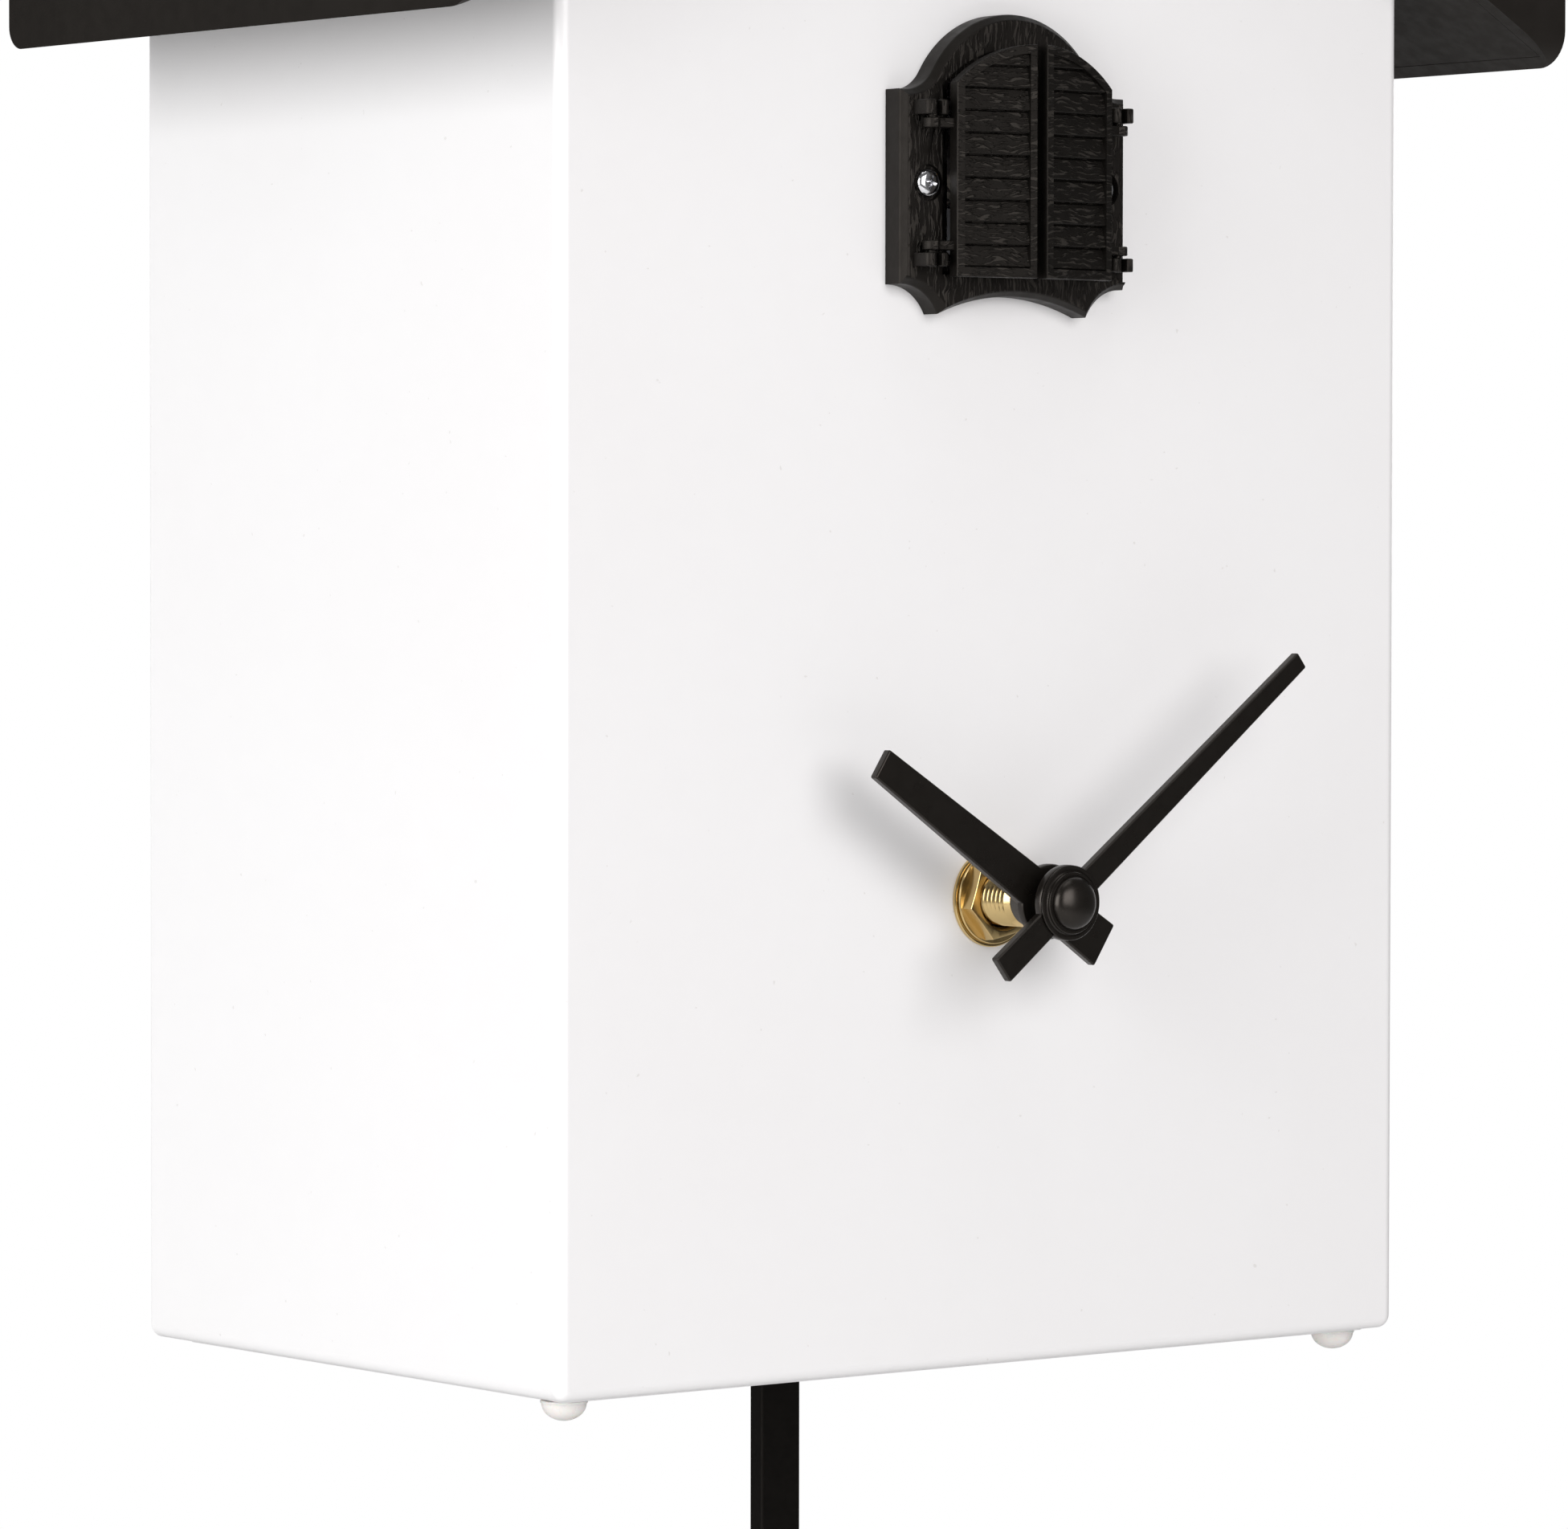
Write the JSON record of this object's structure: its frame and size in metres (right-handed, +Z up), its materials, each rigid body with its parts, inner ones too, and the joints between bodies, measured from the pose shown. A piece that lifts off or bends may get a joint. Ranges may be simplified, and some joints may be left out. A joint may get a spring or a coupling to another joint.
{
  "type": "cuckoo clock",
  "caption": "Modern wall cuckoo clock: white gabled case, black roof, shuttered bird door, two hands and a pendulum.",
  "frame": {"origin": "on the back plane that rests against the wall, on the middle line of the case, at the height of the arbor that carries the hands", "axes": "+Z up, +Y from the clock into the wall, +X to the right of a person facing the clock; the face looks along -Y"},
  "size_m": [0.2, 0.1243, 0.3932],
  "materials": {
    "white_plastic": "smooth satin white moulding, fine scuffs",
    "black_plastic": "fine matte black",
    "grained_plastic": "black moulding embossed with wood grain",
    "hand_black": "satin black enamel",
    "brass": "machined, polished",
    "steel": "zinc plated",
    "chrome": "polished",
    "rubber": "soft, matte, off-white",
    "dark_plastic": "fine moulded texture",
    "grey_plastic": "moulded",
    "gear_plastic": "natural acetal",
    "copper": "enamelled copper wire",
    "board": "green lacquered circuit board",
    "paper": "pressed black paper cone",
    "cell_jacket": "printed battery sleeve with no lettering",
    "feather": "painted brown bird",
    "beak": "painted yellow"
  },
  "bodies": {
    "case": {"front_shell": "white_plastic", "rear_cover": "white_plastic", "floor_plate": "white_plastic", "roof_cover": "black_plastic", "roof_liner": "black_plastic", "door_plate": "grained_plastic", "fixing_nut": "brass", "brass_washer": "brass", "threaded_bush": "brass", "case_screw_1": "steel", "case_screw_2": "steel", "case_screw_3": "steel", "case_screw_4": "steel", "chassis_screw_1": "steel", "chassis_screw_2": "steel", "bird_motor": "steel", "pivot_pin": "steel", "contact_positive": "steel", "contact_springs": "steel", "speaker_frame": "steel", "speaker_magnet": "steel", "plate_screw_left": "chrome", "plate_screw_right": "chrome", "foot_left": "rubber", "foot_right": "rubber", "rubber_washer": "rubber", "movement_front": "dark_plastic", "movement_back": "dark_plastic", "chassis": "dark_plastic", "battery_box": "dark_plastic", "switch_body": "dark_plastic", "bird_guide": "grey_plastic", "pendulum_bracket": "grey_plastic", "step_motor": "copper", "pendulum_coil": "copper", "sound_board": "board", "speaker_cone": "paper", "battery_1": "cell_jacket", "battery_2": "cell_jacket", "battery_3": "cell_jacket"},
    "minute": {"minute_hand": "hand_black", "hand_cap": "hand_black", "minute_arbor": "brass"},
    "hour": {"hour_hand": "hand_black", "hour_wheel": "gear_plastic"},
    "intermediate": {"intermediate_wheel": "gear_plastic"},
    "left_door": {"door_left": "grained_plastic"},
    "right_door": {"door_right": "grained_plastic"},
    "bird": {"carriage": "grey_plastic", "bird_body": "feather", "bird_beak": "beak"},
    "pinion": {"drive_pinion": "gear_plastic"},
    "pendulum": {"pendulum_hanger": "grey_plastic", "pendulum_magnet": "steel", "pendulum_rod": "black_plastic", "pendulum_bob": "black_plastic"},
    "battery_cover": {"battery_door": "white_plastic"},
    "volume_switch": {"switch_slider": "black_plastic"}
  },
  "joints": [
    {"name": "minute_turn", "type": "hinge", "parent": "case", "child": "minute", "pos_m": [-0.0012, -0.119, 0], "axis": [0, 1, 0], "continuous": true},
    {"name": "hour_turn", "type": "hinge", "parent": "case", "child": "hour", "pos_m": [-0.0012, -0.116, 0], "axis": [0, 1, 0], "continuous": true},
    {"name": "intermediate_turn", "type": "hinge", "parent": "case", "child": "intermediate", "pos_m": [0.0108, -0.094, 0], "axis": [0, 1, 0], "continuous": true},
    {"name": "bird_slide", "type": "slide", "parent": "case", "child": "bird", "axis": [0, -1, 0], "range_m": [-0.0026, 0.036]},
    {"name": "pinion_turn", "type": "hinge", "parent": "case", "child": "pinion", "pos_m": [0, -0.076, 0.0844], "axis": [1, 0, 0], "range_deg": [-25, 325]},
    {"name": "left_door_hinge", "type": "hinge", "parent": "case", "child": "left_door", "pos_m": [-0.01705, -0.1101, 0.1012], "axis": [0, 0, -1], "range_deg": [-6.8, 93.5]},
    {"name": "right_door_hinge", "type": "hinge", "parent": "case", "child": "right_door", "pos_m": [0.01705, -0.1101, 0.1012], "axis": [0, 0, 1], "range_deg": [-6.8, 93.5]},
    {"name": "pendulum_swing", "type": "hinge", "parent": "case", "child": "pendulum", "pos_m": [0, -0.0527, 0.0592], "axis": [0, 1, 0], "range_deg": [-6, 6]},
    {"name": "battery_door_hinge", "type": "hinge", "parent": "case", "child": "battery_cover", "pos_m": [0, -0.0009, 0.0827], "axis": [1, 0, 0], "range_deg": [0, 100]},
    {"name": "volume_slide", "type": "slide", "parent": "case", "child": "volume_switch", "axis": [1, 0, 0], "range_m": [0, 0.005]}
  ],
  "couplings": [
    {"joint": "hour_turn", "follows": "minute_turn", "ratio": 0.083333},
    {"joint": "intermediate_turn", "follows": "minute_turn", "ratio": -0.33333},
    {"joint": "pinion_turn", "follows": "bird_slide", "rad_per_m": 156.25},
    {"joint": "left_door_hinge", "follows": "bird_slide", "rad_per_m": 45.233},
    {"joint": "right_door_hinge", "follows": "bird_slide", "rad_per_m": 45.233}
  ]
}
